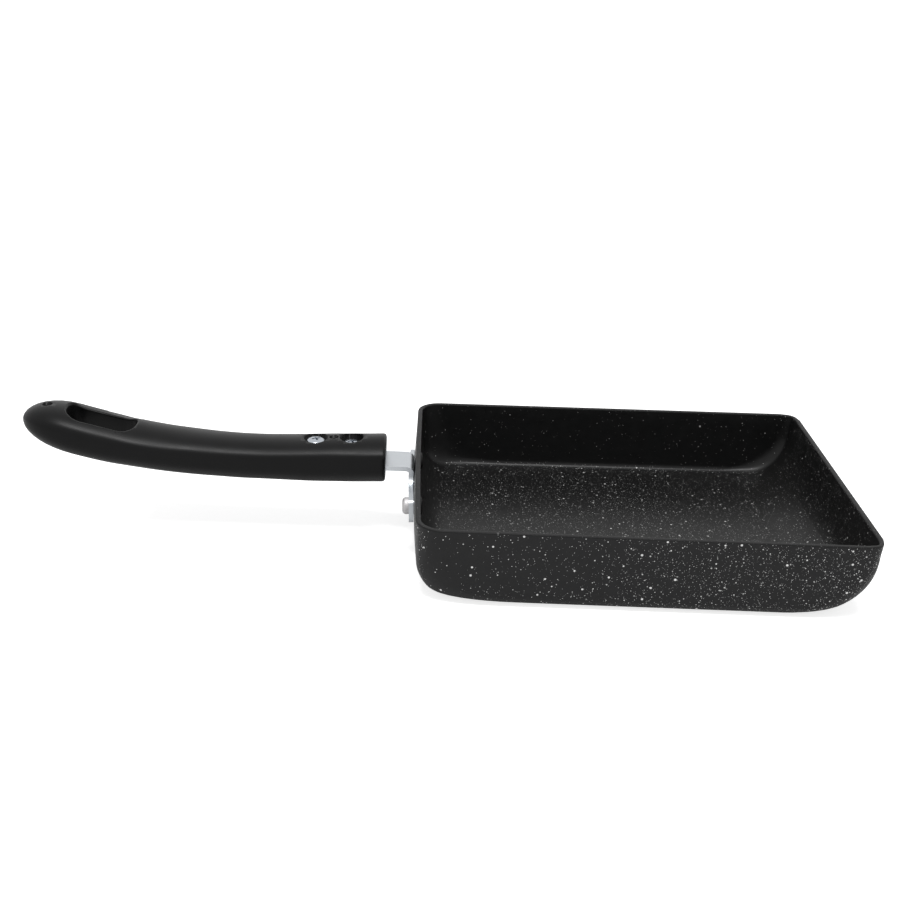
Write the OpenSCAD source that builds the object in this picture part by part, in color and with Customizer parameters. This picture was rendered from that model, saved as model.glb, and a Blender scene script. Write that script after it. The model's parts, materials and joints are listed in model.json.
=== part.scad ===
/* [Pan] */
// Length of the rim, from the handle end to the front
pan_length = 185.4; // [150:1:240]
// Mean width of the rim
pan_width = 145; // [110:1:200]
// How much wider the rim is at the front than at the handle end
pan_flare = 4.4; // [0:0.1:12]
// Height from the underside to the rim
pan_height = 33.2; // [26:0.2:50]
// Thickness of the drawn wall
wall_t = 2.2; // [1.6:0.1:3.5]
// Thickness of the cooking base
base_t = 3; // [2:0.1:4]
// Lean of the handle-end wall and the two long walls from upright, in degrees
wall_lean = 2.5; // [1:0.25:8]
// Lean of the front wall from upright, in degrees
front_lean = 8.75; // [5:0.25:22]
// Outer radius where the front wall rolls into the base
front_roll = 23.5; // [12:0.5:30]
// Outer radius where the handle-end wall rolls into the base
heel_roll = 15; // [6:0.5:20]
// Outer radius where the long walls roll into the base
side_roll = 5; // [4:0.5:12]
// Plan radius of the two corners at the handle end, at the rim
heel_corner = 11; // [5:0.5:16]
// Plan radius of the two front corners, at the rim
front_corner = 5; // [4:0.5:16]
// Length of the two handle-end corners at the base, along the long walls
heel_base_corner = 32.5; // [8:0.5:36]
// Length of the two front corners at the base, along the long walls
front_base_corner = 19; // [6:0.5:24]
// Depth of all four corners at the base, across the long walls
base_corner_w = 8; // [4:0.5:12]
// Rounding of the rim's edges
rim_round = 0.5; // [0.3:0.1:0.8]
// How far the flat panel under the base stands proud
panel_step = 0.5; // [0.3:0.1:1]
// Margin between the edge of the panel and the rolled edge
panel_margin = 4; // [2:0.5:12]

/* [Bracket] */
// Thickness of the steel
plate_t = 2; // [1.5:0.1:3]
// Width of the tongue that runs into the handle
tongue_w = 17.6; // [14:0.2:20]
// Depth of the tongue's upper face below the rim
tongue_drop = 0.3; // [0:0.1:4]
// Inner radius of the bend
bend_r = 1.6; // [1:0.1:4]
// Length of both wings together, along the pan wall
wing_span = 58.5; // [50:0.5:90]
// Height of the wings
wing_h = 9.6; // [8:0.2:12]
// Depth of the middle of the wings below the rim, along the wall
wing_drop = 11.2; // [10.5:0.1:13]
// Radius of the corners of the wings
wing_corner = 2; // [1:0.1:4]
// Radius of the fillet between the tongue's leg and each wing
throat_r = 2; // [0.5:0.1:2]

/* [Rivets] */
// Distance between the two rivets
rivet_spacing = 48.5; // [36:0.5:54]
// Diameter of the rivet shank
rivet_d = 4.8; // [4:0.1:5.5]
// Diameter of the domed outer head
rivet_head_d = 7.8; // [7:0.1:9]
// Height of the domed outer head
rivet_head_h = 3.1; // [2:0.1:4]
// Diameter of the low head inside the pan
rivet_inner_d = 9; // [7:0.1:12]
// Height of the low head inside the pan
rivet_inner_h = 1.4; // [1:0.1:3]
// Diameter of the shoulder that holds the bracket off the wall
shoulder_d = 7; // [6:0.1:8]
// Height of that shoulder
shoulder_h = 1.1; // [0.4:0.1:1.5]

/* [Handle] */
// Gap between the handle's front face and the rim
handle_gap = 13.5; // [8:0.5:25]
// Length of the handle
handle_length = 155.6; // [120:0.2:200]
// Half width over most of the length
grip_half_w = 12.2; // [11:0.1:14]
// Half width round the hanging slot
tail_half_w = 14.5; // [13:0.1:17]
// Half height at the front face
front_half_h = 10.1; // [9.5:0.1:12]
// Half height at the lowest point of the handle's curve
waist_half_h = 8.9; // [8:0.1:12]
// Half height round the hanging slot
tail_half_h = 9.7; // [9:0.1:12]
// Distance from the front face to the lowest point of the curve
waist_at = 56; // [45:1:70]
// Height of the middle of the front face above the middle of the tongue
tongue_offset = 1.5; // [0:0.1:2]
// How far the lowest point lies below the middle of the front face
waist_dip = 1.3; // [0:0.1:4]
// Radius of the upward curve towards the tail
tail_bend_r = 310; // [250:5:600]
// Length of the rounded tail end
tail_round = 22; // [16:0.5:30]
// How far the very tip turns back down
tip_droop = 2.2; // [0:0.1:4]
// Rounding of the front face's edge
face_round = 1.2; // [0.4:0.1:2]
// Length of the hanging slot
slot_length = 29; // [20:0.5:36]
// Width of the hanging slot
slot_w = 17.4; // [10:0.2:18]
// Radius of the hanging slot's corners
slot_corner = 7; // [3:0.5:8]
// Rounding of the slot's edges, above and below
slot_lip = 1.2; // [0.4:0.1:1.6]
// Distance from the slot's tail end to the tip of the handle
slot_margin = 19; // [17:0.5:26]
// Diameter of the dimple at the tail
tail_dimple_d = 4.4; // [2:0.1:6]
// Distance of that dimple from the tip of the handle
tail_dimple_at = 10.5; // [8:0.5:13]
// Depth of the moulding dimples
dimple_depth = 1.4; // [0.6:0.1:3]

/* [Screws] */
// Distance from the handle's front face to the front screw
screw_front_at = 15; // [12:0.5:20]
// Distance between the two screws
screw_pitch = 15.5; // [14:0.5:20]
// Thread diameter of the screws
screw_d = 4; // [3:0.5:5]
// Diameter of the pan heads
screw_head_d = 8; // [7:0.1:9]
// Height of the pan heads
screw_head_h = 2.8; // [2:0.1:3.5]
// Diameter of the recesses over the heads
recess_d = 10.5; // [10:0.1:12]
// Bakelite under the rear screw's head
rear_seat = 5.8; // [3:0.1:6.2]
// Bakelite under the front screw's head
front_seat = 5.1; // [2:0.1:6.2]
// Screw length past the tongue
screw_past = 3; // [1:0.1:4]
// Diameter of the moulding dimple between the screws
mid_dimple_d = 4; // [2:0.1:4.5]

/* [Clearances] */
// Gap round the tongue in its pocket
pocket_gap = 0.2; // [0.1:0.05:0.5]
// Gap round a shank in its hole
hole_gap = 0.1; // [0.05:0.05:0.3]
// Room below a screw's end in the handle
end_room = 1; // [0.5:0.1:2]

/* [Hidden] */
$fn = 64;

// Steps along each plan corner, each rolled edge, each bend and the handle
corner_steps = 8;
roll_steps = 14;
bend_steps = 10;
grip_steps = 20;
tail_steps = 10;
tip_steps = 9;
lip_steps = 3;
// The tail's rounded end stops just short of a point
tip_angle = 87;

flare_angle = atan(pan_flare / 2 / pan_length);
rim_x = -pan_length / 2;

front_x = rim_x - handle_gap;
tip_x = front_x - handle_length;
waist_x = front_x - waist_at;
slot_x = tip_x + slot_margin + slot_length / 2;
tail_x = tip_x + tail_round;
tongue_top = pan_height - tongue_drop;
tongue_mid = tongue_top - plate_t / 2;
front_screw_x = front_x - screw_front_at;
rear_screw_x = front_screw_x - screw_pitch;
tongue_end_x = rear_screw_x - 2 * screw_d;
bend_out = bend_r + plate_t;
bend_turn = 90 - wall_lean;
// Height of the crown over the widest part of the handle, as a share of its half width
crown_share = 0.41;
// How much of the crown's arc is drawn before the soft edge starts, and where that edge and the flank lie
crown_drawn = 0.93;
edge_in = 0.985;
edge_drop = 0.02;
flank_drop = 0.12;
// How far the underside's oval starts below the middle of the handle
belly_share = 0.98;
// Straight share of a rivet's outer head and of a screw's head, under the dome
rivet_rim_share = 0.25;
screw_rim_share = 0.35;
// Cross recess in the screw heads: length and width as shares of the head, and its turn in degrees
cross_length = 0.56;
cross_width = 0.125;
cross_turn = 25;

// How far a wall stands inside the rim line at height z. It leans, then rolls into the floor.
function inset(z, floor_z, lean, roll) =
    let (turn_z = floor_z + roll * (1 - sin(lean)))
    z >= turn_z ? (pan_height - z) * tan(lean)
    : (pan_height - turn_z) * tan(lean) + roll * cos(lean)
        - sqrt(max(0, roll * roll - pow(floor_z + roll - z, 2)));

// Size of a corner at height z: round at the rim, and drawn out along the long walls at the base
function corner_at(z, floor_z, rim_r, base_r) =
    rim_r + (base_r - rim_r) * pow(1 - (z - floor_z) / (pan_height - floor_z), 2);

function arc(cx, cy, rx, ry, from, to, steps) =
    [for (i = [0:steps]) let (a = from + (to - from) * i / steps) [cx + rx * cos(a), cy + ry * sin(a)]];

// One level of the pan at height z. skin is how far it lies inside the outer surface.
function level(z, floor_z, skin, extra) =
    let (
        x_front = -rim_x - inset(z, floor_z, front_lean, front_roll - skin) - skin / cos(front_lean) - extra,
        x_heel = rim_x + inset(z, floor_z, wall_lean, heel_roll - skin) + skin / cos(wall_lean) + extra,
        in_side = inset(z, floor_z, wall_lean, side_roll - skin) + skin / cos(wall_lean) + extra,
        rx_front = max(0.4, corner_at(z, floor_z, front_corner, front_base_corner) - skin - extra),
        ry_front = max(0.4, corner_at(z, floor_z, front_corner, base_corner_w) - skin - extra),
        rx_heel = max(0.4, corner_at(z, floor_z, heel_corner, heel_base_corner) - skin - extra),
        ry_heel = max(0.4, corner_at(z, floor_z, heel_corner, base_corner_w) - skin - extra),
        cx_front = x_front - rx_front,
        cx_heel = x_heel + rx_heel,
        cy_front = pan_width / 2 + cx_front * tan(flare_angle) - in_side - ry_front,
        cy_heel = pan_width / 2 + cx_heel * tan(flare_angle) - in_side - ry_heel,
        half = concat(
            arc(cx_front, cy_front, rx_front, ry_front, 0, 90, corner_steps),
            arc(cx_heel, cy_heel, rx_heel, ry_heel, 90, 180, corner_steps)
        ),
        n = len(half)
    )
    concat(
        [for (p = half) [p.x, p.y, z]],
        [for (i = [1:n]) [half[n - i].x, -half[n - i].y, z]]
    );

// Closed skin through a list of rings that all have the same number of points
module skin_rings(rings) {
    n = len(rings[0]);
    count = len(rings);
    points = [for (ring = rings) each ring];
    sides = [for (k = [0:count - 2], j = [0:n - 1])
        let (a = k * n + j, b = k * n + (j + 1) % n)
        each [[a, a + n, b + n], [a, b + n, b]]];
    first_cap = [for (j = [0:n - 1]) j];
    last_cap = [for (j = [1:n]) count * n - j];
    polyhedron(points, concat([first_cap], sides, [last_cap]), convexity = 8);
}

function roll_heights(floor_z, skin) =
    let (top = (front_roll - skin) * (1 - sin(front_lean)))
    [for (i = [0:roll_steps]) floor_z + top * pow(i / roll_steps, 2)];

// Places children on the outer face of the handle-end wall: -X leads away from the pan, -Z down the wall
module on_heel_wall() {
    translate([rim_x, 0, pan_height]) rotate([0, -wall_lean, 0]) children();
}

module rivet_holes(d, length) {
    for (side = [-1, 1])
        translate([0, side * rivet_spacing / 2, -wing_drop])
            rotate([0, 90, 0]) cylinder(d = d, h = length, center = true);
}

module pan_body() {
    out_z = roll_heights(panel_step, 0);
    in_z = roll_heights(base_t, wall_t);
    rings = concat(
        [[for (p = level(panel_step, panel_step, 0, panel_margin)) [p.x, p.y, 0]]],
        [level(panel_step, panel_step, 0, panel_margin - panel_step)],
        [for (z = out_z) level(z, panel_step, 0, 0)],
        [level(pan_height - rim_round, panel_step, 0, 0)],
        [level(pan_height - rim_round * 0.3, panel_step, 0, rim_round * 0.3)],
        [level(pan_height, panel_step, 0, rim_round)],
        [level(pan_height, base_t, wall_t, -rim_round)],
        [level(pan_height - rim_round * 0.3, base_t, wall_t, -rim_round * 0.3)],
        [level(pan_height - rim_round, base_t, wall_t, 0)],
        [for (i = [0:roll_steps]) level(in_z[roll_steps - i], base_t, wall_t, 0)]
    );
    color([0.09, 0.09, 0.1]) difference() {
        skin_rings(rings);
        on_heel_wall() rivet_holes(rivet_d + 2 * hole_gap, 6 * wall_t);
    }
}

// Side view of the steel strip: tongue, bend and the leg down the wall
module strip_profile() {
    // The leg's inner face stands off the wall by the rivets' shoulder
    face_x = rim_x - shoulder_h / cos(wall_lean) + tongue_drop * tan(wall_lean);
    // Centre of the bend, below the tongue and outside the leg
    cz = tongue_top - bend_out;
    cx = face_x + bend_out * tan(wall_lean) - bend_out / cos(wall_lean);
    leg = wing_drop + wing_h / 2;
    foot_out = [rim_x - shoulder_h * cos(wall_lean) + leg * sin(wall_lean),
        pan_height - leg * cos(wall_lean) - shoulder_h * sin(wall_lean)];
    foot_in = [foot_out.x - plate_t * cos(wall_lean), foot_out.y - plate_t * sin(wall_lean)];
    polygon(concat(
        [[tongue_end_x, tongue_top - plate_t], [tongue_end_x, tongue_top]],
        arc(cx, cz, bend_out, bend_out, 90, 90 - bend_turn, bend_steps),
        [foot_out, foot_in],
        arc(cx, cz, bend_r, bend_r, 90 - bend_turn, 90, bend_steps)
    ));
}

module bracket() {
    throat_z = -wing_drop + wing_h / 2;
    color([0.75, 0.78, 0.8]) difference() {
        union() {
            rotate([90, 0, 0]) linear_extrude(tongue_w, center = true) strip_profile();
            on_heel_wall() translate([-shoulder_h - plate_t, 0, -wing_drop])
                rotate([90, 0, 90]) linear_extrude(plate_t) {
                    square([wing_span - 2 * wing_corner, wing_h], center = true);
                    square([wing_span, wing_h - 2 * wing_corner], center = true);
                    for (x = [-1, 1], y = [-1, 1])
                        translate([x * (wing_span / 2 - wing_corner), y * (wing_h / 2 - wing_corner)])
                            circle(wing_corner);
                }
            // Fillets between the leg and the wings
            for (side = [0, 1]) mirror([0, side, 0])
                on_heel_wall() translate([-shoulder_h - plate_t, tongue_w / 2, throat_z])
                    rotate([90, 0, 90]) linear_extrude(plate_t) difference() {
                        square(throat_r);
                        translate([throat_r, throat_r]) circle(throat_r);
                    }
        }
        on_heel_wall() rivet_holes(rivet_d + 2 * hole_gap, 8 * plate_t);
        for (x = [front_screw_x, rear_screw_x])
            translate([x, 0, tongue_mid])
                cylinder(d = screw_d + 2 * hole_gap, h = 2 * plate_t, center = true);
    }
}

// A rivet lies along -X of the wall: low head inside, shoulder against the wall, domed head outside
module rivet(side) {
    in_face = wall_t;
    out_face = -shoulder_h - plate_t;
    rim_h = rivet_head_h * rivet_rim_share;
    dome_h = rivet_head_h - rim_h;
    dome_r = (pow(rivet_head_d / 2, 2) + dome_h * dome_h) / (2 * dome_h);
    low_r = (pow(rivet_inner_d / 2, 2) + pow(rivet_inner_h, 2)) / (2 * rivet_inner_h);
    color([0.72, 0.72, 0.73]) on_heel_wall() translate([0, side * rivet_spacing / 2, -wing_drop])
        rotate([0, 90, 0]) {
            translate([0, 0, out_face]) cylinder(d = rivet_d, h = in_face - out_face);
            translate([0, 0, -shoulder_h]) cylinder(d = shoulder_d, h = shoulder_h);
            translate([0, 0, out_face - rim_h]) cylinder(d = rivet_head_d, h = rim_h);
            intersection() {
                translate([0, 0, out_face - rivet_head_h]) cylinder(d = rivet_head_d, h = dome_h);
                translate([0, 0, out_face - rivet_head_h + dome_r]) sphere(dome_r);
            }
            intersection() {
                translate([0, 0, in_face]) cylinder(d = rivet_inner_d, h = rivet_inner_h);
                translate([0, 0, in_face + rivet_inner_h - low_r]) sphere(low_r);
            }
        }
}

module rivet_near() { rivet(-1); }
module rivet_far() { rivet(1); }

// Height of the middle of the handle at x
function spine_z(x) =
    let (
        rise = x > waist_x ? waist_dip * pow((x - waist_x) / waist_at, 2)
            : tail_bend_r - sqrt(pow(tail_bend_r, 2) - pow(waist_x - x, 2)),
        t = max(0, (tail_x - x) / tail_round)
    )
    tongue_mid + tongue_offset + rise - waist_dip - tip_droop * t * t;

// Eases from 0 to 1
function ease(t) = let (u = min(1, max(0, t))) u * u * (3 - 2 * u);

function half_w(x) =
    grip_half_w + (tail_half_w - grip_half_w) * ease((waist_x - x) / (waist_x - tail_x - tail_round / 4));

function half_h(x) = x > waist_x
    ? waist_half_h + (front_half_h - waist_half_h) * ease((x - waist_x) / waist_at)
    : waist_half_h + (tail_half_h - waist_half_h) * ease((waist_x - x) / (waist_x - tail_x));

// Radius of the crown over a half width of a
function crown_r(a) = a * (1 + pow(crown_share, 2)) / (2 * crown_share);

// Height of the crowned top at a point, and of the underside
function top_z(x, y) =
    let (r = crown_r(half_w(x)))
    spine_z(x) + half_h(x) - r + sqrt(max(0, r * r - y * y));
function belly_z(x, y) =
    let (a = half_w(x), b = half_h(x))
    spine_z(x) - b * (1 - belly_share) - b * belly_share * sqrt(max(0, 1 - pow(y / a, 2)));

// One cross-section of the handle: a crowned top, soft upper edges, short flanks and an oval underside
function section(x, scale_by, trim) =
    let (
        a = half_w(x) * scale_by - trim,
        b = half_h(x) * scale_by - trim,
        r = crown_r(a),
        crown_a = asin(a / r),
        z = spine_z(x),
        edge_z = z + b - a * crown_share
    )
    concat(
        [for (i = [-grip_steps / 2:grip_steps / 2]) let (u = i / grip_steps * 2 * crown_a * crown_drawn)
            [x, r * sin(u), z + b - r * (1 - cos(u))]],
        [[x, a * edge_in, edge_z - edge_drop * a], [x, a, edge_z - flank_drop * a]],
        [for (i = [0:grip_steps]) let (u = 180 * i / grip_steps)
            [x, a * cos(u), z - b * (1 - belly_share) - b * belly_share * sin(u)]],
        [[x, -a, edge_z - flank_drop * a], [x, -a * edge_in, edge_z - edge_drop * a]]
    );

module grip_blank() {
    body_start = front_x - 2 * face_round;
    body_x = [for (i = [0:grip_steps]) body_start + (waist_x - body_start) * i / grip_steps];
    tail_steps_x = [for (i = [1:tail_steps * 2]) waist_x + (tail_x - waist_x) * i / (tail_steps * 2)];
    skin_rings(concat(
        [section(front_x, 1, face_round)],
        [section(front_x - face_round * 0.3, 1, face_round * 0.3)],
        [section(front_x - face_round, 1, 0)],
        [for (x = body_x) section(x, 1, 0)],
        [for (x = tail_steps_x) section(x, 1, 0)],
        [for (i = [1:tip_steps]) let (u = tip_angle * i / tip_steps)
            section(tail_x - tail_round * sin(u), cos(u), 0)]
    ));
}

module screw_recess(x, seat) {
    translate([x, 0, tongue_top + pocket_gap + seat]) cylinder(d = recess_d, h = 4 * front_half_h);
    translate([x, 0, tongue_mid - plate_t / 2 - screw_past - pocket_gap - end_room])
        cylinder(d = screw_d + 2 * hole_gap, h = seat + screw_past + plate_t + 2 * end_room);
}

// Outline of the hanging slot, grown by extra
function slot_outline(extra) =
    let (
        r = slot_corner + extra,
        cx = slot_length / 2 - slot_corner,
        cy = slot_w / 2 - slot_corner
    )
    concat(
        arc(slot_x + cx, cy, r, r, 0, 90, corner_steps),
        arc(slot_x - cx, cy, r, r, 90, 180, corner_steps),
        arc(slot_x - cx, -cy, r, r, 180, 270, corner_steps),
        arc(slot_x + cx, -cy, r, r, 270, 360, corner_steps)
    );

// One ring of the slot's wall. turn is 0 on the straight wall and 90 where its lip meets the handle's face.
function slot_ring(turn, top) =
    let (sink = slot_lip * (1 - sin(turn)))
    [for (p = slot_outline(slot_lip * (1 - cos(turn))))
        [p.x, p.y, top ? top_z(p.x, p.y) - sink : belly_z(p.x, p.y) + sink]];

// The hanging slot, with its edges rounded above and below
module slot_cut() {
    above = top_z(slot_x - slot_length / 2, 0) + slot_w;
    below = belly_z(slot_x + slot_length / 2, 0) - slot_w;
    skin_rings(concat(
        [[for (p = slot_outline(slot_lip)) [p.x, p.y, below]]],
        [for (i = [0:lip_steps]) slot_ring(90 - 90 * i / lip_steps, false)],
        [for (i = [0:lip_steps]) slot_ring(90 * i / lip_steps, true)],
        [[for (p = slot_outline(slot_lip)) [p.x, p.y, above]]]
    ));
}

module handle() {
    dimple_x = (front_screw_x + rear_screw_x) / 2;
    tail_dimple_x = tip_x + tail_dimple_at;
    pocket_w = tongue_w + 2 * pocket_gap;
    // The rounded end is an oval, so the top there is lower than over the slot
    tip_rise = sqrt(1 - pow((tail_x - tail_dimple_x) / tail_round, 2));
    color([0.07, 0.07, 0.07]) difference() {
        grip_blank();
        // Pocket for the tongue
        translate([tongue_end_x - 2 * pocket_gap, -pocket_w / 2, tongue_mid - plate_t / 2 - pocket_gap])
            cube([front_x - tongue_end_x + 2 * plate_t, pocket_w, plate_t + 2 * pocket_gap]);
        screw_recess(front_screw_x, front_seat);
        screw_recess(rear_screw_x, rear_seat);
        slot_cut();
        // Moulding dimples
        translate([dimple_x, 0, top_z(dimple_x, 0) - dimple_depth])
            cylinder(d = mid_dimple_d, h = 2 * dimple_depth);
        translate([tail_dimple_x, 0, spine_z(tail_dimple_x) + tip_rise * tail_half_h - dimple_depth])
            cylinder(d = tail_dimple_d, h = 4 * dimple_depth);
    }
}

module screw(x, seat) {
    seat_z = tongue_top + pocket_gap + seat;
    length = seat + pocket_gap + plate_t + screw_past;
    rim_h = screw_head_h * screw_rim_share;
    dome_h = screw_head_h - rim_h;
    dome_r = (pow(screw_head_d / 2, 2) + dome_h * dome_h) / (2 * dome_h);
    color([0.78, 0.8, 0.84]) translate([x, 0, seat_z]) difference() {
        union() {
            translate([0, 0, -length]) cylinder(d = screw_d, h = length);
            cylinder(d = screw_head_d, h = rim_h);
            intersection() {
                translate([0, 0, rim_h]) cylinder(d = screw_head_d, h = dome_h);
                translate([0, 0, screw_head_h - dome_r]) sphere(dome_r);
            }
        }
        // Cross recess
        for (turn = [0, 90]) rotate([0, 0, cross_turn + turn])
            translate([0, 0, screw_head_h])
                cube([screw_head_d * cross_length, screw_head_d * cross_width, screw_head_h], center = true);
    }
}

module screw_front() { screw(front_screw_x, front_seat); }
module screw_rear() { screw(rear_screw_x, rear_seat); }

pan_body();
bracket();
rivet_near();
rivet_far();
handle();
screw_front();
screw_rear();
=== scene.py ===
import json
import math

import bpy
from mathutils import Matrix, Vector

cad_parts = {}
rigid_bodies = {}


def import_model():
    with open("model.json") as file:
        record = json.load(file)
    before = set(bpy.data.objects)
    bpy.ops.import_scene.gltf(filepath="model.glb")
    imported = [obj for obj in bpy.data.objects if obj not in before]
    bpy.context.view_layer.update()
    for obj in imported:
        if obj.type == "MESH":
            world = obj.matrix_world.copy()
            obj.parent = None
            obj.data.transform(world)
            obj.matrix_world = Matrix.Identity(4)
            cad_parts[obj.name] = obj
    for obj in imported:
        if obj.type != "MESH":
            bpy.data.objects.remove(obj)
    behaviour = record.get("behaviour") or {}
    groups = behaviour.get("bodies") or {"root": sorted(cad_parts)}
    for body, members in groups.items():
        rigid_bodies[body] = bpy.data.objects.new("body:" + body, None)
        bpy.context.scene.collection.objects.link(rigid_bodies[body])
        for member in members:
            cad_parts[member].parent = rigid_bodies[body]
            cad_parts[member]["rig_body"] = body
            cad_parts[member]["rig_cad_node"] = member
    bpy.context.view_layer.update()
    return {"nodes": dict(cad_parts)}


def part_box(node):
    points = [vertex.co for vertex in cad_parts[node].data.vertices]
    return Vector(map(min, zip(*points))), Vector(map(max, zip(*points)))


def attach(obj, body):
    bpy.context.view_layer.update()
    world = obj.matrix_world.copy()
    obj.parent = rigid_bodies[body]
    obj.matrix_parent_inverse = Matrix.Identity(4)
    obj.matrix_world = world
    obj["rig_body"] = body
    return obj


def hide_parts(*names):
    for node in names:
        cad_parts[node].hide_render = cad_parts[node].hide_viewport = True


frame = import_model()
mm = 0.001
print("frame loaded:", ", ".join(sorted(frame["nodes"])))

meshLook = {
    "mergeGap": 0.000002,          # corners nearer than this are one
    "quadTurn": 20,                # two triangles that turn less than this become a quad
    "quadSkew": 60,
    "shadingWeight": 60,           # how strongly a large face bends the shading at its corners
}


# Selecting and finishing
def selectOnly(piece):
    if bpy.context.object and bpy.context.object.mode != "OBJECT":
        bpy.ops.object.mode_set(mode="OBJECT")
    bpy.ops.object.select_all(action="DESELECT")
    piece.select_set(True)
    bpy.context.view_layer.objects.active = piece


def deselectEverything():
    if bpy.context.object and bpy.context.object.mode != "OBJECT":
        bpy.ops.object.mode_set(mode="OBJECT")
    bpy.ops.object.select_all(action="DESELECT")


def nameIt(piece, name):
    piece.name = name
    piece.data.name = name
    return piece


def applyPlace(piece):
    selectOnly(piece)
    bpy.ops.object.transform_apply(location=True, rotation=True, scale=True)


def fixNormals(piece):
    selectOnly(piece)
    bpy.ops.object.mode_set(mode="EDIT")
    bpy.ops.mesh.select_all(action="SELECT")
    bpy.ops.mesh.remove_doubles(threshold=meshLook["mergeGap"])
    bpy.ops.mesh.normals_make_consistent(inside=False)
    bpy.ops.object.mode_set(mode="OBJECT")


def shadeSoft(piece, degrees):
    selectOnly(piece)
    bpy.ops.object.shade_smooth_by_angle(angle=math.radians(degrees))
    weighted = piece.modifiers.new("evenShading", "WEIGHTED_NORMAL")
    weighted.keep_sharp = True
    weighted.weight = meshLook["shadingWeight"]
    bpy.ops.object.modifier_apply(modifier=weighted.name)


# A merged copy of a CAD node, to be finished as a piece of its own
def copyNode(nodeName, pieceName):
    source = frame["nodes"][nodeName]
    selectOnly(source)
    bpy.ops.object.duplicate()
    piece = nameIt(bpy.context.active_object, pieceName)
    piece.parent = None
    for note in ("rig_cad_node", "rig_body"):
        if note in piece:
            del piece[note]
    piece.data.materials.clear()
    bpy.ops.object.mode_set(mode="EDIT")
    bpy.ops.mesh.select_all(action="SELECT")
    bpy.ops.mesh.remove_doubles(threshold=meshLook["mergeGap"])
    bpy.ops.mesh.tris_convert_to_quads(
        face_threshold=math.radians(meshLook["quadTurn"]), shape_threshold=math.radians(meshLook["quadSkew"]))
    bpy.ops.object.mode_set(mode="OBJECT")
    return piece


def finishPiece(piece, nodeName):
    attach(piece, "root")
    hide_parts(nodeName)
    print("made", piece.name, len(piece.data.polygons), "faces")


cameraLook = {
    "place": (-0.0953, -0.5399, 0.2602),
    "pitch": 22.363,               # downwards, in degrees
    "yaw": 1.787,                  # from +Y towards +X
    "roll": 2.691,
    "lens": 53.68,
    "sensor": 36,
    "nearest": 0.01,
}


def makeCamera():
    pitch, yaw, roll = (math.radians(cameraLook[k]) for k in ("pitch", "yaw", "roll"))
    ahead = Vector((math.sin(yaw), math.cos(yaw), 0))
    right = Vector((math.cos(yaw), -math.sin(yaw), 0))
    up = Vector((0, 0, 1))
    lookAlong = ahead * math.cos(pitch) - up * math.sin(pitch)
    lookUp = up * math.cos(pitch) + ahead * math.sin(pitch)
    rightRolled = right * math.cos(roll) + lookUp * math.sin(roll)
    upRolled = lookUp * math.cos(roll) - right * math.sin(roll)
    deselectEverything()
    bpy.ops.object.camera_add(location=cameraLook["place"])
    camera = nameIt(bpy.context.active_object, "productCamera")
    turn = Matrix((rightRolled, upRolled, -lookAlong)).transposed()
    camera.rotation_euler = turn.to_euler()
    camera.data.lens = cameraLook["lens"]
    camera.data.sensor_width = cameraLook["sensor"]
    camera.data.clip_start = cameraLook["nearest"]
    bpy.context.scene.camera = camera


makeCamera()
print("camera placed")


# Materials: every pattern is laid out in metres on the object's own coordinates
def newMaterial(name):
    material = bpy.data.materials.new(name)
    material.use_nodes = True
    nodes, links = material.node_tree.nodes, material.node_tree.links
    return material, nodes, links, nodes["Principled BSDF"]


def addNode(nodes, kind, **settings):
    node = nodes.new(kind)
    for key, value in settings.items():
        if key in node.inputs.keys():
            node.inputs[key].default_value = value
        else:
            setattr(node, key, value)
    return node


def addMath(nodes, links, operation, first, second, third=None):
    node = nodes.new("ShaderNodeMath")
    node.operation = operation
    for k, value in enumerate((first, second, third)):
        if value is None:
            continue
        if isinstance(value, (int, float)):
            node.inputs[k].default_value = value
        else:
            links.new(value, node.inputs[k])
    return node.outputs[0]


def addRange(nodes, links, value, low, high, toLow, toHigh):
    node = nodes.new("ShaderNodeMapRange")
    links.new(value, node.inputs["Value"])
    for key, amount in (("From Min", low), ("From Max", high), ("To Min", toLow), ("To Max", toHigh)):
        if isinstance(amount, (int, float)):
            node.inputs[key].default_value = amount
        else:
            links.new(amount, node.inputs[key])
    return node.outputs["Result"]


def mixColour(nodes, links, amount, under, over):
    node = nodes.new("ShaderNodeMix")
    node.data_type = "RGBA"
    links.new(amount, node.inputs["Factor"])
    for socket, value in ((node.inputs[6], under), (node.inputs[7], over)):
        if isinstance(value, tuple):
            socket.default_value = (*value, 1)
        else:
            links.new(value, socket)
    return node.outputs[2]


noiseLook = {
    "middle": (0.3, 0.7),          # most of a noise texture's values lie between these
    "drift": (0.8, 1.2),
}


# A colour that drifts a little to both sides of the one given
def driftColour(nodes, links, amount, colour, low, high):
    darker = tuple(c * low for c in colour)
    lighter = tuple(min(1, c * high) for c in colour)
    return mixColour(nodes, links, amount, darker, lighter)


def driftRoughness(nodes, links, amount, roughness, spread):
    return addRange(nodes, links, amount, *noiseLook["middle"], roughness - spread, roughness + spread)


coatingLook = {                    # what the three coatings share
    "fleckEdge": 0.7,              # a fleck is solid up to this share of its radius
    "patchScale": 55.0,            # the spray is thinner here and thicker there
    "patches": (0.75, 1.25),
    "groundScale": 260.0,
    "roughnessDrift": 0.04,
    "peelScale": 1400.0,           # orange peel
    "fleckRise": 0.6,
    "bumpStrength": 0.25,
    "bumpDepth": 0.00006,
    "slopeAlong": (0.058, 0.074),  # where the floor turns into the sloping front wall
    "slopeAcross": (0.057, 0.063),
    "cornerAlong": (-0.0875, -0.0910),   # where the side walls turn into the heel wall
}


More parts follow.
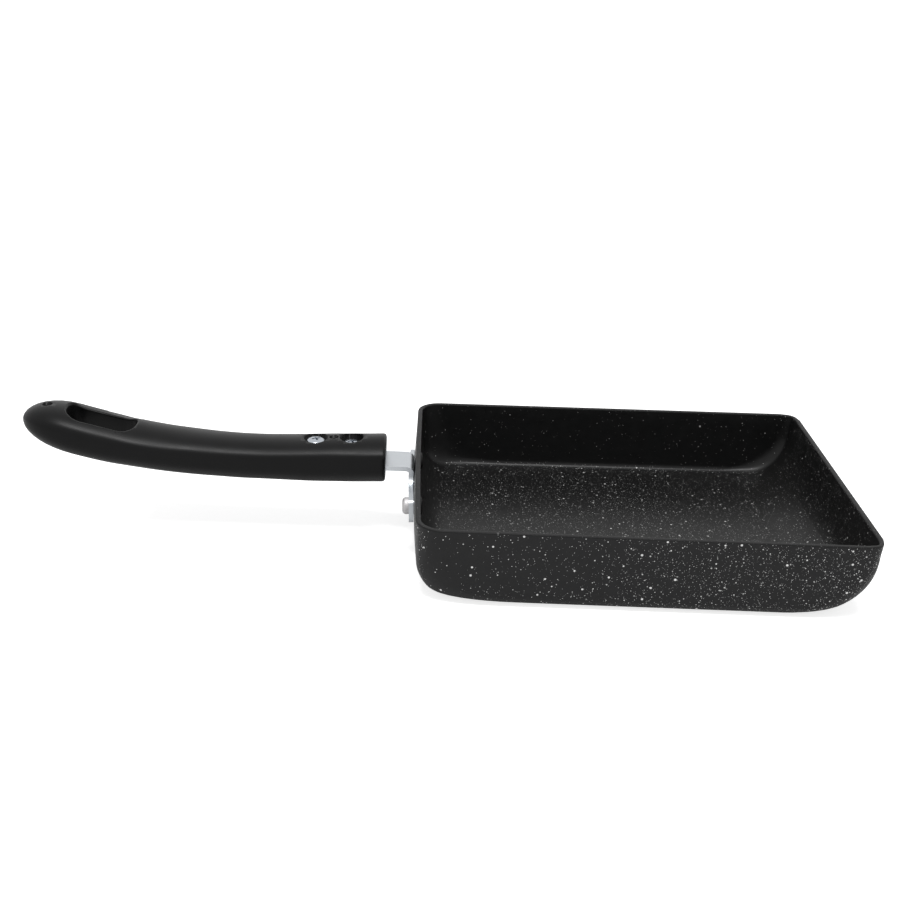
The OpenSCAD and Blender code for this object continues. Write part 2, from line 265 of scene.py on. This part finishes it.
# Round flecks of many sizes: one per Voronoi cell, some cells left empty
def fleckMask(nodes, links, place, cell, largest, spread, share):
    cells = addNode(nodes, "ShaderNodeTexVoronoi", feature="F1", Scale=1 / cell, Randomness=1.0)
    links.new(place, cells.inputs["Vector"])
    # A cell's own colour follows the place of its point, so it is shuffled
    dice = nodes.new("ShaderNodeTexWhiteNoise")
    links.new(cells.outputs["Color"], dice.inputs["Vector"])
    parts = nodes.new("ShaderNodeSeparateColor")
    links.new(dice.outputs["Color"], parts.inputs["Color"])
    size = addMath(nodes, links, "POWER", parts.outputs[0], spread)
    radius = addMath(nodes, links, "MULTIPLY", size, largest / cell)
    edge = addMath(nodes, links, "MULTIPLY", radius, coatingLook["fleckEdge"])
    dot = addRange(nodes, links, cells.outputs["Distance"], edge, radius, 1.0, 0.0)
    chosen = addMath(nodes, links, "LESS_THAN", parts.outputs[1], share)
    return addMath(nodes, links, "MULTIPLY", dot, chosen), parts.outputs[2]


# Each layer of flecks: cell, largest radius, spread of sizes, share of cells at the heel and at the
# front, dimmest fleck. Lengths are in millimetres.
insideLook = {
    "ground": (0.0070, 0.0070, 0.0070),
    "roughness": 0.34,
    "specular": 0.20,
    "fleck": (0.66, 0.66, 0.65),
    "ends": (-0.085, 0.080),
    "layers": [(3.2, 0.54, 0.6, 0.70, 0.65, 0.45), (1.8, 0.31, 0.5, 0.80, 0.75, 0.4),
               (1.0, 0.20, 0.5, 0.60, 0.75, 0.35), (0.5, 0.12, 0.4, 0.45, 0.55, 0.3)],
    "wallStart": 0.0030,           # above this height the spray from above thins out
    "wallEnd": 0.0055,
    "onWall": 0.10,
    "onSlope": 0.75,               # the sloping front wall catches most of it
    "onCorner": 0.0,
}
outsideLook = {
    "ground": (0.0212, 0.0212, 0.0217),
    "roughness": 0.42,
    "specular": 0.14,
    "fleck": (1.0, 1.0, 0.99),
    "ends": (-0.085, 0.075),
    "layers": [(3.6, 0.64, 0.4, 0.52, 0.85, 0.85), (1.8, 0.33, 0.5, 0.20, 0.95, 0.6),
               (1.0, 0.21, 0.5, 0.08, 0.98, 0.5), (0.5, 0.13, 0.4, 0.03, 0.55, 0.45)],
    "wallStart": 0.0,
    "wallEnd": 0.0332,
    "onWall": 1.0,
    "onSlope": 0.0,
    "onCorner": 0.5,               # a fine spray on the heel's corners
}
# The rim's ground is darker than the outside coating and its flecks are dim: partly the bare rim's own
# smoother finish, partly painted shade that keeps the rim band dark
rimLook = dict(outsideLook, ground=(0.0150, 0.0150, 0.0152), fleck=(0.12, 0.12, 0.12), specular=0.10)


def makeCoating(name, look):
    material, nodes, links, shader = newMaterial(name)
    place = nodes.new("ShaderNodeTexCoord").outputs["Object"]
    axes = nodes.new("ShaderNodeSeparateXYZ")
    links.new(place, axes.inputs[0])
    along = addRange(nodes, links, axes.outputs[0], *look["ends"], 0.0, 1.0)
    upWall = addRange(nodes, links, axes.outputs[2], look["wallStart"], look["wallEnd"], 1.0, look["onWall"])
    onSlope = addRange(nodes, links, axes.outputs[0], *coatingLook["slopeAlong"], 0.0, look["onSlope"])
    fromSide = addMath(nodes, links, "ABSOLUTE", axes.outputs[1], 0.0)
    inMiddle = addRange(nodes, links, fromSide, *coatingLook["slopeAcross"], 1.0, 0.0)
    onSlope = addMath(nodes, links, "MULTIPLY", onSlope, inMiddle)
    upWall = addMath(nodes, links, "MAXIMUM", upWall, onSlope)
    onCorner = addRange(nodes, links, axes.outputs[0], *coatingLook["cornerAlong"], 0.0, look["onCorner"])
    patches = addNode(nodes, "ShaderNodeTexNoise", Scale=coatingLook["patchScale"], Detail=2.0)
    links.new(place, patches.inputs["Vector"])
    uneven = addRange(nodes, links, patches.outputs["Fac"], *noiseLook["middle"], *coatingLook["patches"])
    uneven = addMath(nodes, links, "MULTIPLY", uneven, upWall)
    cover = None
    for cell, largest, spread, atHeel, atFront, dimmest in look["layers"]:
        coverage = addRange(nodes, links, along, 0.0, 1.0, atHeel, atFront)
        coverage = addMath(nodes, links, "MAXIMUM", onCorner, coverage)
        share = addMath(nodes, links, "MULTIPLY", uneven, coverage)
        mask, tone = fleckMask(nodes, links, place, cell * mm, largest * mm, spread, share)
        bright = addRange(nodes, links, tone, 0.0, 1.0, dimmest, 1.0)
        mask = addMath(nodes, links, "MULTIPLY", mask, bright)
        cover = mask if cover is None else addMath(nodes, links, "MAXIMUM", cover, mask)
    ground = addNode(nodes, "ShaderNodeTexNoise", Scale=coatingLook["groundScale"], Detail=3.0)
    links.new(place, ground.inputs["Vector"])
    base = driftColour(nodes, links, ground.outputs["Fac"], look["ground"], *noiseLook["drift"])
    links.new(mixColour(nodes, links, cover, base, look["fleck"]), shader.inputs["Base Color"])
    roughness = driftRoughness(
        nodes, links, ground.outputs["Fac"], look["roughness"], coatingLook["roughnessDrift"])
    links.new(roughness, shader.inputs["Roughness"])
    shader.inputs["Specular IOR Level"].default_value = look["specular"]
    peel = addNode(nodes, "ShaderNodeTexNoise", Scale=coatingLook["peelScale"], Detail=2.0)
    links.new(place, peel.inputs["Vector"])
    height = addMath(nodes, links, "MULTIPLY_ADD", cover, coatingLook["fleckRise"], peel.outputs["Fac"])
    bump = addNode(nodes, "ShaderNodeBump",
                   Strength=coatingLook["bumpStrength"], Distance=coatingLook["bumpDepth"])
    links.new(height, bump.inputs["Height"])
    links.new(bump.outputs["Normal"], shader.inputs["Normal"])
    return material


insideCoating = makeCoating("insideCoating", insideLook)
outsideCoating = makeCoating("outsideCoating", outsideLook)
rimCoating = makeCoating("rimCoating", rimLook)

bakeliteLook = {
    "colour": (0.0055, 0.0055, 0.0057),
    "roughness": 0.34,
    "specular": 0.135,
    "cloudScale": 120.0,
    "roughnessDrift": 0.03,
    "grain": (350.0, 2200.0, 2200.0),    # fine lines along the handle
    "grainStrength": 0.3,
    "grainDepth": 0.00004,
}


def makeBakelite():
    look = bakeliteLook
    material, nodes, links, shader = newMaterial("bakelite")
    place = nodes.new("ShaderNodeTexCoord").outputs["Object"]
    cloud = addNode(nodes, "ShaderNodeTexNoise", Scale=look["cloudScale"], Detail=4.0)
    links.new(place, cloud.inputs["Vector"])
    colour = driftColour(nodes, links, cloud.outputs["Fac"], look["colour"], *noiseLook["drift"])
    links.new(colour, shader.inputs["Base Color"])
    roughness = driftRoughness(nodes, links, cloud.outputs["Fac"], look["roughness"], look["roughnessDrift"])
    links.new(roughness, shader.inputs["Roughness"])
    shader.inputs["Specular IOR Level"].default_value = look["specular"]
    stretch = nodes.new("ShaderNodeMapping")
    stretch.inputs["Scale"].default_value = look["grain"]
    links.new(place, stretch.inputs["Vector"])
    grain = addNode(nodes, "ShaderNodeTexNoise", Scale=1.0, Detail=3.0)
    links.new(stretch.outputs[0], grain.inputs["Vector"])
    bump = addNode(nodes, "ShaderNodeBump", Strength=look["grainStrength"], Distance=look["grainDepth"])
    links.new(grain.outputs["Fac"], bump.inputs["Height"])
    links.new(bump.outputs["Normal"], shader.inputs["Normal"])
    return material


bakelite = makeBakelite()


metalFinishes = {
    "zincPlate": {
        "colour": (0.55, 0.575, 0.60),
        "roughness": 0.34,
        "streak": (300.0, 1500.0, 900.0),
        "bumpDepth": 0.00002,
    },
    "screwZinc": {
        "colour": (0.46, 0.49, 0.53),
        "roughness": 0.26,
        "streak": (700.0, 700.0, 700.0),
        "bumpDepth": 0.00001,
    },
    "rivetAluminium": {
        "colour": (0.52, 0.51, 0.515),
        "roughness": 0.60,
        "streak": (900.0, 900.0, 900.0),
        "bumpDepth": 0.00002,
    },
}
metalLook = {                      # what the three metals share
    "drift": (0.9, 1.08),
    "roughnessDrift": 0.06,
    "bumpStrength": 0.3,
}


def makeMetal(name):
    look = metalFinishes[name]
    material, nodes, links, shader = newMaterial(name)
    place = nodes.new("ShaderNodeTexCoord").outputs["Object"]
    stretch = nodes.new("ShaderNodeMapping")
    stretch.inputs["Scale"].default_value = look["streak"]
    links.new(place, stretch.inputs["Vector"])
    lines = addNode(nodes, "ShaderNodeTexNoise", Scale=1.0, Detail=3.0)
    links.new(stretch.outputs[0], lines.inputs["Vector"])
    shader.inputs["Metallic"].default_value = 1.0
    colour = driftColour(nodes, links, lines.outputs["Fac"], look["colour"], *metalLook["drift"])
    links.new(colour, shader.inputs["Base Color"])
    roughness = driftRoughness(
        nodes, links, lines.outputs["Fac"], look["roughness"], metalLook["roughnessDrift"])
    links.new(roughness, shader.inputs["Roughness"])
    bump = addNode(nodes, "ShaderNodeBump", Strength=metalLook["bumpStrength"], Distance=look["bumpDepth"])
    links.new(lines.outputs["Fac"], bump.inputs["Height"])
    links.new(bump.outputs["Normal"], shader.inputs["Normal"])
    return material


zincPlate = makeMetal("zincPlate")
screwZinc = makeMetal("screwZinc")
rivetAluminium = makeMetal("rivetAluminium")
print("materials made")


panLook = {
    "smoothAngle": 35,
    "insideFrom": 2.7,             # below this height no face is on the inside
    "rimHeight": 33.2,
    "rimDepth": 0.4,
    "insideAim": 200,              # inner faces look towards a point this far up
    # Planes that cut the walls into smaller faces, so that they can bend
    "cutsAcross": (-65, -54, -44, -34, -14, -4, 4, 14, 34, 44, 54, 65),
    "cutsAlong": (84,),
    "cutsUp": (22, 25, 28),
    "bow": 1.5,                    # how far the middle of the heel wall stands out
    "bowAtRim": 0.32,              # share of it that is left at the rim
    "bowHalfWidth": 62,
    "bowStart": (-70, -88),        # along the pan, from no bow to all of it
    "bowRise": (3, 14),            # and up the wall
    "bowFade": 26,
    "cornerStart": (84, 65),       # the front corners of the rim are rounder than the CAD's
    "cornerReach": (8.6, 8.5),
    "cornerIn": 1.8,
    "cornerRise": (22, 31),
}


def easeBetween(value, start, end):
    share = min(1, max(0, (value - start) / (end - start)))
    return share * share * (3 - 2 * share)


def bowAt(x, y, z):
    across = max(0, 1 - (y / panLook["bowHalfWidth"]) ** 2)
    rise = easeBetween(z, *panLook["bowRise"])
    rise *= 1 - (1 - panLook["bowAtRim"]) * easeBetween(z, panLook["bowFade"], panLook["rimHeight"])
    return panLook["bow"] * across * easeBetween(x, *panLook["bowStart"]) * rise


# How far in a point of the rim's front corners comes, along the line from the rounding's middle
def cornerShift(x, y, z):
    startX, startY = panLook["cornerStart"]
    reachX, reachY = panLook["cornerReach"]
    outX, outY = max(0, x - startX), max(0, abs(y) - startY)
    if outX == 0 or outY == 0:
        return 0, 0
    shift = panLook["cornerIn"] * min(1, outX / reachX) * min(1, outY / reachY)
    shift *= easeBetween(z, *panLook["cornerRise"])
    away = math.hypot(outX, outY)
    return shift * outX / away, math.copysign(shift * outY / away, y)


def cutFaces(piece, axis, places):
    selectOnly(piece)
    bpy.ops.object.mode_set(mode="EDIT")
    for place in places:
        bpy.ops.mesh.select_all(action="SELECT")
        bpy.ops.mesh.bisect(plane_co=axis * place * mm, plane_no=axis)
    bpy.ops.object.mode_set(mode="OBJECT")


def makePanBody():
    piece = copyNode("pan_body", "panShell")
    cutFaces(piece, Vector((0, 1, 0)), panLook["cutsAcross"])
    cutFaces(piece, Vector((1, 0, 0)), panLook["cutsAlong"])
    cutFaces(piece, Vector((0, 0, 1)), panLook["cutsUp"])
    for corner in piece.data.vertices:
        x, y, z = corner.co / mm
        inX, inY = cornerShift(x, y, z)
        corner.co.x -= (bowAt(x, y, z) + inX) * mm
        corner.co.y -= inY * mm
    piece.data.materials.append(outsideCoating)
    piece.data.materials.append(insideCoating)
    piece.data.materials.append(rimCoating)
    shadeSoft(piece, panLook["smoothAngle"])
    above = Vector((0, 0, panLook["insideAim"] * mm))
    rimFrom = (panLook["rimHeight"] - panLook["rimDepth"]) * mm
    for face in piece.data.polygons:
        facesIn = face.normal.dot(above - face.center) > 0 and face.center.z > panLook["insideFrom"] * mm
        face.material_index = 2 if face.center.z > rimFrom else int(facesIn)
    finishPiece(piece, "pan_body")


makePanBody()


# A value read from a table of (place along the handle, value), eased from row to row
def alongTable(table, x):
    if x <= table[0][0]:
        return table[0][1]
    for (start, first), (end, last) in zip(table, table[1:]):
        if x <= end:
            return first + (last - first) * easeBetween(x, start, end)
    return table[-1][1]


gripLook = {
    "smoothAngle": 38,
    # Fuller shoulders, by the place along the handle, on top and below
    "crown": [(-262, 1.6), (-240, 2.1), (-225, 1.8), (-212, 0.6), (-202, 0.8), (-188, 1.7), (-160, 1.3),
              (-140, 1.8), (-130, 1.8), (-122, 0.9), (-112, 0.0)],
    "belly": [(-262, 1.2), (-250, 1.5), (-225, 1.4), (-212, 0.4), (-180, 0.3), (-165, 1.1),
              (-140, 1.6), (-125, 0.8), (-110, 0.0)],
    "depthUnit": 8,                # the tables' values hold at this depth
    "edgeBand": 0.02,              # points this near to the widest one lie on the ring's edge
    "ringSize": 28,                # a full ring of the moulding has at least this many corners
    "slotEnds": (-242.8, -236.0, -219.0, -213.2),
    "slotEdge": 9.95,              # points of the handle's far side beyond this stay
    "slotLipEdge": 8.95,
    "slotShift": 3.0,              # how far the slot's far lip comes in
    "slotRise": (36, 44),
}


# The half width of the moulding and the heights of its side edges, ring by ring
def readRings(piece):
    rings = {}
    for corner in piece.data.vertices:
        x, y, z = corner.co / mm
        rings.setdefault(round(x, 2), []).append((abs(y), z))
    wides, lows, highs = [], [], []
    for x in sorted(rings):
        if len(rings[x]) < gripLook["ringSize"]:
            continue
        wide = max(y for y, z in rings[x])
        edge = [z for y, z in rings[x] if y > wide - gripLook["edgeBand"]]
        wides.append((x, wide))
        lows.append((x, min(edge)))
        highs.append((x, max(edge)))
    return wides, lows, highs


def makeGrip():
    look = gripLook
    piece = copyNode("handle", "gripHandle")
    wides, lows, highs = readRings(piece)
    for corner in piece.data.vertices:
        x, y, z = corner.co / mm
        out = (y / alongTable(wides, x)) ** 2 / look["depthUnit"]
        above, below = z - alongTable(highs, x), alongTable(lows, x) - z
        if above > 0:
            corner.co.z += alongTable(look["crown"], x) * out * above * mm
        elif below > 0:
            corner.co.z -= alongTable(look["belly"], x) * out * below * mm
        if 0 < y < look["slotEdge"]:
            tail, tailFull, frontFull, front = look["slotEnds"]
            here = easeBetween(x, tail, tailFull) * (1 - easeBetween(x, frontFull, front))
            here *= easeBetween(y, 0, look["slotLipEdge"]) * easeBetween(z, *look["slotRise"])
            corner.co.y -= look["slotShift"] * here * mm
    piece.data.materials.append(bakelite)
    shadeSoft(piece, look["smoothAngle"])
    finishPiece(piece, "handle")


makeGrip()

teeLook = {
    "smoothAngle": 30,
    "legHalf": 8.8,
    "legFillet": 2,
    "legOut": 0.5,                 # the leg stands off the wall by this much, the wing ends by less
    "wingEnd": 29.25,
    "wingOut": 0.15,
    "bend": (28.5, 31.0),
    "wingBottom": (20.0, 18.5),    # the wings' lower edge is drawn down
    "wingDrop": 1.3,
    "wingTop": (24.5, 26.0),       # and their upper edge a little
    "topDrop": 0.45,
}


def makeBracket():
    look = teeLook
    piece = copyNode("bracket", "teeBracket")
    for corner in piece.data.vertices:
        x, y, z = corner.co / mm
        toLeg = 1 - easeBetween(abs(y), look["legHalf"], look["wingEnd"])
        out = look["wingOut"] + (look["legOut"] - look["wingOut"]) * toLeg
        corner.co.x -= out * (1 - easeBetween(z, *look["bend"])) * mm
        bottom, full = look["wingBottom"]
        corner.co.z -= look["wingDrop"] * easeBetween(-z, -bottom, -full) * mm
        onWing = easeBetween(abs(y), look["legHalf"], look["legHalf"] + look["legFillet"])
        corner.co.z -= look["topDrop"] * easeBetween(z, *look["wingTop"]) * onWing * mm
    piece.data.materials.append(zincPlate)
    shadeSoft(piece, look["smoothAngle"])
    finishPiece(piece, "bracket")


makeBracket()


# Selects the flat end of a turned piece that lies at the given height
def selectCap(piece, height):
    bpy.ops.object.mode_set(mode="OBJECT")
    nearBy = 0.01 * mm
    for face in piece.data.polygons:
        face.select = abs(face.center.z - height * mm) < nearBy and len(face.vertices) > 4
    for edge in piece.data.edges:
        edge.select = False
    for corner in piece.data.vertices:
        corner.select = False
    bpy.ops.object.mode_set(mode="EDIT")
    bpy.ops.mesh.select_mode(type="FACE")


# The selected cap grows into the next step of a turned piece: first to a new radius, then along -Z
def stepOn(fromRadius, toRadius, depth):
    bpy.ops.mesh.extrude_region_move()
    share = toRadius / fromRadius
    bpy.ops.transform.resize(value=(share, share, 1))
    bpy.ops.mesh.extrude_region_move(TRANSFORM_OT_translate={"value": (0, 0, -depth * mm)})


# The selected cap closes in along part of an oval, upwards or downwards, up to the given turn
def domeOn(baseRadius, rise, fullTurn, steps):
    radius, height = baseRadius, 0
    for k in range(1, steps + 1):
        turn = math.radians(fullTurn) * k / steps
        nextRadius, nextHeight = baseRadius * math.cos(turn), rise * math.sin(turn)
        bpy.ops.mesh.extrude_region_move(TRANSFORM_OT_translate={"value": (0, 0, (nextHeight - height) * mm)})
        share = nextRadius / radius
        bpy.ops.transform.resize(value=(share, share, 1))
        radius, height = nextRadius, nextHeight


rivetLook = {
    "sides": 48,
    "smoothAngle": 40,
    "headRadius": 3.6,
    "headHeight": 2.75,
    "headCorner": 1.5,
    "cornerSteps": 6,
    "shankRadius": 2.4,
    "shoulderRadius": 3.5,
    "shoulder": 1.1,               # between wing and wall, less where the wall bows out
    "leastShoulder": 0.05,
    "plate": 2.0,
    "wall": 2.2,
    "lowRadius": 3.9,
    "lowRim": 0.6,
    "lowDome": 1.3,
    "domeTurn": 78,
    "domeSteps": 5,
    "down": 11.2,                  # below the rim, along the wall
    "out": 0.2,                    # the wing stands this much farther out here
    "rimX": -92.7,
    "lean": 2.5,
    "coatFrom": 0.1,               # the coating starts this far inside the wall's inner face
}


def makeRivet(nodeName, pieceName):
    look = rivetLook
    low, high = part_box(nodeName)
    y = (low[1] + high[1]) / 2
    bow = bowAt(look["rimX"], y / mm, panLook["rimHeight"] - look["down"])
    outFace = look["shoulder"] + look["plate"] + look["out"]
    deselectEverything()
    bpy.ops.mesh.primitive_cylinder_add(vertices=look["sides"], radius=look["headRadius"] * mm,
                                        depth=look["headHeight"] * mm, location=(0, 0, 0))
    piece = nameIt(bpy.context.active_object, pieceName)
    piece.location = (0, 0, (outFace + look["headHeight"] / 2) * mm)
    applyPlace(piece)
    selectCap(piece, outFace + look["headHeight"])
    bpy.ops.mesh.bevel(offset=look["headCorner"] * mm, segments=look["cornerSteps"], affect="EDGES")
    selectCap(piece, outFace)
    stepOn(look["headRadius"], look["shankRadius"], look["plate"])
    shoulder = max(look["leastShoulder"], look["shoulder"] + look["out"] - bow)
    stepOn(look["shankRadius"], look["shoulderRadius"], shoulder)
    stepOn(look["shoulderRadius"], look["shankRadius"], look["wall"])
    stepOn(look["shankRadius"], look["lowRadius"], look["lowRim"])
    domeOn(look["lowRadius"], -look["lowDome"], look["domeTurn"], look["domeSteps"])
    bpy.ops.object.mode_set(mode="OBJECT")
    # +Z of the turned piece becomes the outward normal of the heel wall
    lean = math.radians(look["lean"])
    outward = Vector((-math.cos(lean), 0, -math.sin(lean)))
    upWall = Vector((-math.sin(lean), 0, math.cos(lean)))
    across = upWall.cross(outward)
    middle = Vector((look["rimX"] * mm, y, panLook["rimHeight"] * mm)) - upWall * look["down"] * mm
    turn = Matrix((across, upWall, outward)).transposed().to_4x4()
    piece.matrix_world = Matrix.Translation(middle) @ turn
    applyPlace(piece)
    piece.data.materials.append(rivetAluminium)
    piece.data.materials.append(insideCoating)
    inner = middle - outward * (look["wall"] - bow - look["coatFrom"]) * mm
    for face in piece.data.polygons:
        face.material_index = 1 if (face.center - inner).dot(outward) < 0 else 0
    fixNormals(piece)
    shadeSoft(piece, look["smoothAngle"])
    finishPiece(piece, nodeName)


makeRivet("rivet_near", "rivetNear")
makeRivet("rivet_far", "rivetFar")

screwLook = {
    "sides": 64,
    "smoothAngle": 30,
    "headRadius": 4.0,
    "headRim": 1.4,
    "headHeight": 2.5,
    "headCad": 2.8,                # height of the CAD's head, which ends at the box's top
    "domeTurn": 80,
    "domeSteps": 8,
    "shankRadius": 1.95,
    "crossLong": 5.0,
    "crossWide": 1.25,
    "crossDeep": 1.7,
    "crossTaper": 0.55,
    "crossTurn": 25,
}


# Two tapered arms that cut the cross recess
def makeCross(top):
    look = screwLook
    arms = []
    for turn in (0, 90):
        deselectEverything()
        bpy.ops.mesh.primitive_cube_add(size=1, location=top)
        arm = bpy.context.active_object
        arm.scale = (look["crossLong"] * mm, look["crossWide"] * mm, 2 * look["crossDeep"] * mm)
        arm.rotation_euler = (0, 0, math.radians(look["crossTurn"] + turn))
        for corner in arm.data.vertices:
            if corner.co.z < 0:
                corner.co.x *= look["crossTaper"]
                corner.co.y *= look["crossTaper"]
        applyPlace(arm)
        arms.append(arm)
    return arms


def makeScrew(nodeName, pieceName):
    look = screwLook
    low, high = (Vector(end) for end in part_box(nodeName))
    seat = high.z - look["headCad"] * mm
    middle = Vector(((low.x + high.x) / 2, 0, seat))
    deselectEverything()
    bpy.ops.mesh.primitive_cylinder_add(vertices=look["sides"], radius=look["headRadius"] * mm,
                                        depth=look["headRim"] * mm, location=(0, 0, look["headRim"] / 2 * mm))
    piece = nameIt(bpy.context.active_object, pieceName)
    applyPlace(piece)
    selectCap(piece, look["headRim"])
    domeOn(look["headRadius"], look["headHeight"] - look["headRim"], look["domeTurn"], look["domeSteps"])
    selectCap(piece, 0)
    stepOn(look["headRadius"], look["shankRadius"], (seat - low.z) / mm)
    bpy.ops.object.mode_set(mode="OBJECT")
    piece.location = middle
    applyPlace(piece)
    for arm in makeCross(middle + Vector((0, 0, look["headHeight"] * mm))):
        cut = piece.modifiers.new("crossRecess", "BOOLEAN")
        cut.object = arm
        cut.operation = "DIFFERENCE"
        cut.solver = "EXACT"
        selectOnly(piece)
        bpy.ops.object.modifier_apply(modifier=cut.name)
        bpy.data.objects.remove(arm)
    piece.data.materials.append(screwZinc)
    fixNormals(piece)
    shadeSoft(piece, look["smoothAngle"])
    finishPiece(piece, nodeName)


makeScrew("screw_front", "screwFront")
makeScrew("screw_rear", "screwRear")


studioLook = {
    "worldLight": 0.42,
    "softbox": {"place": (-0.05, -0.27, 1.10), "size": (0.62, 0.28), "watts": 9.0},
    "floorSize": 40,
    "floorWhite": 0.8,
    "floorRoughness": 0.9,
    "floorGlow": 0.75,             # added for the camera alone
    "mirroredGlow": 0.18,          # with the light that falls on it the floor mirrors as white
}


def mirroredRay(nodes, links, ray):
    return addMath(nodes, links, "MAXIMUM", ray.outputs["Is Glossy Ray"], ray.outputs["Is Transmission Ray"])


def makeFloor():
    deselectEverything()
    bpy.ops.mesh.primitive_plane_add(size=studioLook["floorSize"], location=(0, 0, 0))
    floor = nameIt(bpy.context.active_object, "studioFloor")
    applyPlace(floor)
    material, nodes, links, shader = newMaterial("studioWhite")
    white = studioLook["floorWhite"]
    shader.inputs["Base Color"].default_value = (white, white, white, 1)
    shader.inputs["Roughness"].default_value = studioLook["floorRoughness"]
    shader.inputs["Specular IOR Level"].default_value = 0.0
    ray = nodes.new("ShaderNodeLightPath")
    mirrored = mirroredRay(nodes, links, ray)
    mirroredGlow = addMath(nodes, links, "MULTIPLY", mirrored, studioLook["mirroredGlow"])
    strength = addMath(nodes, links, "MULTIPLY_ADD",
                       ray.outputs["Is Camera Ray"], studioLook["floorGlow"], mirroredGlow)
    glow = nodes.new("ShaderNodeEmission")
    links.new(strength, glow.inputs["Strength"])
    both = nodes.new("ShaderNodeAddShader")
    links.new(shader.outputs[0], both.inputs[0])
    links.new(glow.outputs[0], both.inputs[1])
    links.new(both.outputs[0], nodes["Material Output"].inputs["Surface"])
    floor.data.materials.append(material)


def makeWorld():
    world = bpy.data.worlds.new("studioWorld")
    bpy.context.scene.world = world
    world.use_nodes = True
    nodes, links = world.node_tree.nodes, world.node_tree.links
    background = nodes["Background"]
    ray = nodes.new("ShaderNodeLightPath")
    mirrored = mirroredRay(nodes, links, ray)
    seen = addMath(nodes, links, "MAXIMUM", ray.outputs["Is Camera Ray"], mirrored)
    strength = addRange(nodes, links, seen, 0.0, 1.0, studioLook["worldLight"], 1.0)
    links.new(strength, background.inputs["Strength"])
    background.inputs["Color"].default_value = (1, 1, 1, 1)


def makeLamps():
    box = studioLook["softbox"]
    deselectEverything()
    bpy.ops.object.light_add(type="AREA", location=box["place"])
    lamp = nameIt(bpy.context.active_object, "topSoftbox")
    lamp.data.shape = "RECTANGLE"
    lamp.data.size, lamp.data.size_y = box["size"]
    lamp.data.energy = box["watts"]
    lamp.rotation_euler = Vector(box["place"]).to_track_quat("Z", "Y").to_euler()    # towards the pan


makeFloor()
makeWorld()
makeLamps()
bpy.context.scene.view_settings.view_transform = "Standard"
print("studio lit")
